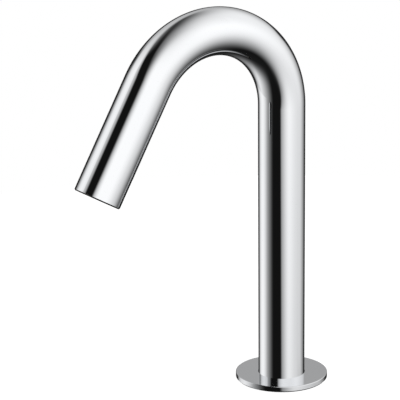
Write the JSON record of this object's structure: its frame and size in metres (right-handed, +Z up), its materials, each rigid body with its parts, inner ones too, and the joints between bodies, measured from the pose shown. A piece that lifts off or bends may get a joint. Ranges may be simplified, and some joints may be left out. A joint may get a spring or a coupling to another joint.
{
  "type": "sensor tap",
  "caption": "Slim gooseneck sensor tap: a bent chromed tube on a round flange, with a clamping shank and nut below and an aerator and infra-red sensor in its tip.",
  "frame": {"origin": "centre of the flange's underside, on the deck's surface and on the shank's axis", "axes": "+Z up along the column, -Y towards the spout's tip, +X to the right of someone who stands in front of the spout and washes their hands at it"},
  "size_m": [0.0516, 0.1567, 0.2845],
  "materials": {
    "polished_chrome": "polished chrome plate",
    "brass": "machined brass",
    "nickel_plate": "nickel plate",
    "stainless_steel": "satin steel",
    "blackened_steel": "phosphated spring steel",
    "black_rubber": "matte rubber",
    "red_rubber": "matte rubber",
    "black_plastic": "fine satin moulding",
    "grey_plastic": "satin moulding",
    "white_plastic": "moulded acetal",
    "blue_plastic": "moulded acetal",
    "dark_window": "polished infra-red filter",
    "hose_plastic": "translucent hose",
    "lead_sheath": "satin cable sheath",
    "clear_lens": "water-clear epoxy",
    "dark_lens": "dark epoxy",
    "circuit_board": "solder mask",
    "chip_plastic": "moulded epoxy"
  },
  "bodies": {
    "tap": {"spout_tube": "polished_chrome", "base_flange": "polished_chrome", "flange_gasket": "black_rubber", "threaded_shank": "brass", "shank_end_plug": "black_plastic", "end_plug_circlip": "blackened_steel", "inlet_stem": "nickel_plate", "stem_retaining_clip": "stainless_steel", "lead_socket": "grey_plastic", "lower_hose_ferrule": "stainless_steel", "water_hose": "hose_plastic", "upper_hose_ferrule": "stainless_steel", "hose_nipple": "brass", "nipple_o_ring": "black_rubber", "sensor_lead": "lead_sheath", "outlet_body": "black_plastic", "outlet_o_rings": "black_rubber", "outlet_grub_screw": "stainless_steel", "sensor_window": "dark_window", "sensor_window_seal": "black_rubber", "sensor_case": "black_plastic", "ir_emitter": "clear_lens", "ir_receiver": "dark_lens", "sensor_board": "circuit_board", "sensor_chip": "chip_plastic", "sensor_back_cap": "black_plastic", "sensor_lead_boot": "black_rubber"},
    "deck_washers": {"deck_rubber_washer": "black_rubber", "deck_steel_washer": "stainless_steel"},
    "lock_nut": {"lock_nut": "brass"},
    "aerator_seal": {"aerator_gasket": "red_rubber"},
    "aerator": {"aerator_housing": "grey_plastic", "aerator_grid": "white_plastic", "aerator_screen": "stainless_steel", "flow_regulator": "blue_plastic", "regulator_o_ring": "black_rubber"}
  },
  "joints": [
    {"name": "nut_travel", "type": "slide", "parent": "tap", "child": "deck_washers", "axis": [0, 0, 1], "range_m": [-0.0165, 0.018]},
    {"name": "nut_turn", "type": "hinge", "parent": "deck_washers", "child": "lock_nut", "pos_m": [0, 0, -0.028], "axis": [0, 0, 1], "range_deg": [-3960, 4320]},
    {"name": "aerator_travel", "type": "slide", "parent": "tap", "child": "aerator_seal", "axis": [0, -0.5, -0.866], "range_m": [0, 0.007]},
    {"name": "aerator_turn", "type": "hinge", "parent": "aerator_seal", "child": "aerator", "pos_m": [0, -0.11633, 0.12426], "axis": [0, -0.5, -0.866], "range_deg": [0, 2520]}
  ],
  "couplings": [
    {"joint": "nut_turn", "follows": "nut_travel", "rad_per_m": 4188.8},
    {"joint": "aerator_turn", "follows": "aerator_travel", "rad_per_m": 6283.2}
  ]
}
